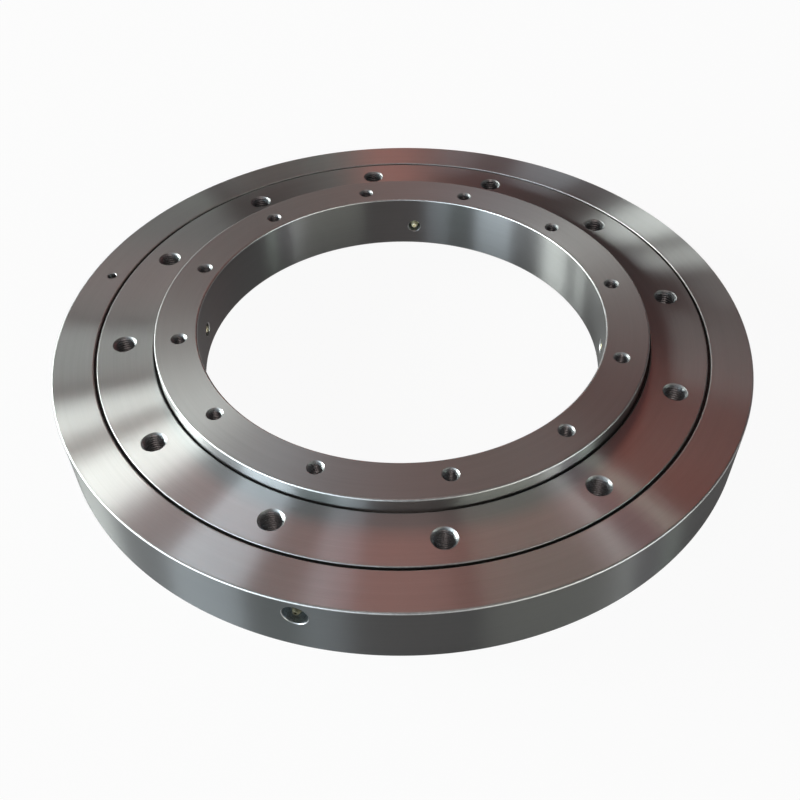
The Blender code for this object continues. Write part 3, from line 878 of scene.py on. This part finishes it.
def add_floor():
    mesh = bpy.data.meshes.new("floor")
    size = FLOOR_SIZE
    corners = [(-size, -size, 0), (size, -size, 0), (size, size, 0), (-size, size, 0)]
    mesh.from_pydata(corners, [], [(0, 1, 2, 3)])
    nodes = Nodes("floor", 0.0)
    nodes.set(Base_Color=(0.8, 0.8, 0.8, 1.0), Roughness=0.9, Specular_IOR_Level=0.0)
    path = nodes.add("LightPath").outputs
    through = nodes.math("MAXIMUM", path["Is Glossy Ray"], path["Is Transmission Ray"])
    in_steel = nodes.math("MULTIPLY", through, FLOOR_WHITE_IN_STEEL)
    to_camera = nodes.math("MULTIPLY", path["Is Camera Ray"], FLOOR_WHITE)
    seen = nodes.math("MAXIMUM", in_steel, to_camera)
    white = nodes.add("Emission")
    mix = nodes.add("MixShader")
    nodes.link(seen, mix.inputs[0])
    nodes.link(nodes.shader.outputs[0], mix.inputs[1])
    nodes.link(white.outputs[0], mix.inputs[2])
    nodes.link(mix.outputs[0], nodes.tree.nodes["Material Output"].inputs["Surface"])
    mesh.materials.append(nodes.material)
    floor = linked(bpy.data.objects.new("floor", mesh))
    floor.location.z = -FLOOR_DROP


def add_world():
    """A dim workshop round the bearing, white where the camera looks past the floor."""
    world = bpy.data.worlds.new("workshop")
    world.use_nodes = True
    tree = world.node_tree
    dim = tree.nodes["Background"]
    dim.inputs["Color"].default_value = (*WORLD_DIM, 1.0)
    white = tree.nodes.new("ShaderNodeBackground")
    white.inputs["Color"].default_value = (*grey(WORLD_WHITE), 1.0)
    path = tree.nodes.new("ShaderNodeLightPath")
    mix = tree.nodes.new("ShaderNodeMixShader")
    tree.links.new(path.outputs["Is Camera Ray"], mix.inputs[0])
    tree.links.new(dim.outputs[0], mix.inputs[1])
    tree.links.new(white.outputs[0], mix.inputs[2])
    tree.links.new(mix.outputs[0], tree.nodes["World Output"].inputs["Surface"])
    bpy.context.scene.world = world


def add_lamp(name, azimuth, elevation, width, height, colour, radiance):
    """A rectangular lamp that faces the bearing from a direction."""
    data = bpy.data.lights.new(name, "AREA")
    data.shape = "RECTANGLE"
    data.size = width
    data.size_y = height
    data.color = colour
    data.energy = radiance * width * height * math.pi
    lamp = linked(bpy.data.objects.new(name, data))
    a, e = math.radians(azimuth), math.radians(elevation)
    direction = Vector((math.cos(e) * math.cos(a), math.cos(e) * math.sin(a), math.sin(e)))
    lamp.location = direction * LAMP_DISTANCE
    lamp.rotation_euler = (-lamp.location).to_track_quat("-Z", "Y").to_euler()


def add_lights():
    """World and lamps, a lamp's row being name, azimuth, elevation, width, height, colour and radiance.

    The rows are the output of a least-squares fit to the brightness of the rings in the photograph,
    written here by a scratch program.
    A few of them were changed afterwards.
    """
    add_world()
    for lamp in (
        ("glow_right_back", 60.0, 45.0, *FILL, (1.00, 0.08, 0.06), 0.55),
        ("sky_back", 75.0, 70.0, *FILL, (0.60, 1.00, 0.90), 0.35),
        ("glow_high_back", 90.0, 70.0, *FILL, (1.00, 0.15, 0.15), 0.65),
        ("panel_back", 90.7, 28.0, 0.90, 3.93, (1.00, 0.25, 0.16), 3.12),
        ("strip_back", 95.0, 25.0, 0.88, 4.80, (0.00, 1.00, 0.99), 0.74),
        ("back_left", 119.2, 15.7, 4.83, 1.94, DAYLIGHT, 3.46),
        ("left_back", 141.3, 4.5, 2.92, 2.12, DAYLIGHT, 9.07),
        ("window_1", 156.1, 12.0, 1.99, 3.62, DAYLIGHT, 17.50),
        ("fill_left_back", 165.0, 8.0, *FILL, DAYLIGHT, 1.74),
        ("window_2", 175.0, 16.5, 3.55, 4.28, DAYLIGHT, 20.50),
        ("fill_left_mid", 180.0, 8.0, *FILL, DAYLIGHT, 5.32),
        ("fill_left", 196.9, 3.8, 6.11, 3.19, (0.87, 0.95, 1.00), 7.34),
        ("window_3", 217.0, 9.5, 4.44, 3.59, (0.80, 0.93, 1.00), 18.50),
        ("fill_front_left", 240.0, 8.0, *FILL, (0.76, 0.99, 1.00), 3.00),
        ("front_left", 249.4, 10.8, 2.61, 4.58, (0.79, 0.91, 1.00), 5.16),
        ("glow_high_front", 270.0, 70.0, *FILL, (1.00, 0.80, 0.74), 1.75),
        ("front_right", 310.6, 2.1, 8.93, 5.63, (0.95, 1.00, 0.88), 4.22),
        ("strip_right_1", 330.0, 5.0, 0.80, 4.80, (0.89, 1.00, 0.96), 8.75),
        ("lamp_right", 335.4, 2.0, 5.64, 3.24, (0.94, 0.86, 1.00), 3.46),
        ("strip_right_2", 345.0, 5.0, 0.88, 4.80, (0.73, 1.00, 0.77), 6.99),
    ):
        add_lamp(*lamp)


bpy.context.scene.view_settings.view_transform = "Standard"
add_camera()
FINISHES = add_finishes()
add_outer_ring(FINISHES)
add_middle_ring(FINISHES)
add_inner_ring(FINISHES)
add_seal("outer_race_upper_seal", OUTER_BORE, UPPER_SEAL_Z, "outer_ring", FINISHES)
add_seal("outer_race_lower_seal", OUTER_BORE, OUTER_LOWER_SEAL_Z, "outer_ring", FINISHES)
add_seal("inner_race_upper_seal", MIDDLE_BORE, UPPER_SEAL_Z, "middle_ring", FINISHES)
add_seal("inner_race_lower_seal", MIDDLE_BORE, INNER_LOWER_SEAL_Z, "middle_ring", FINISHES)
add_ball_trains("outer_race", OUTER_RACE_RADIUS, OUTER_RACE_Z, "outer_race_balls", FINISHES)
add_ball_trains("inner_race", INNER_RACE_RADIUS, INNER_RACE_Z, "inner_race_balls", FINISHES)
add_floor()
add_lights()
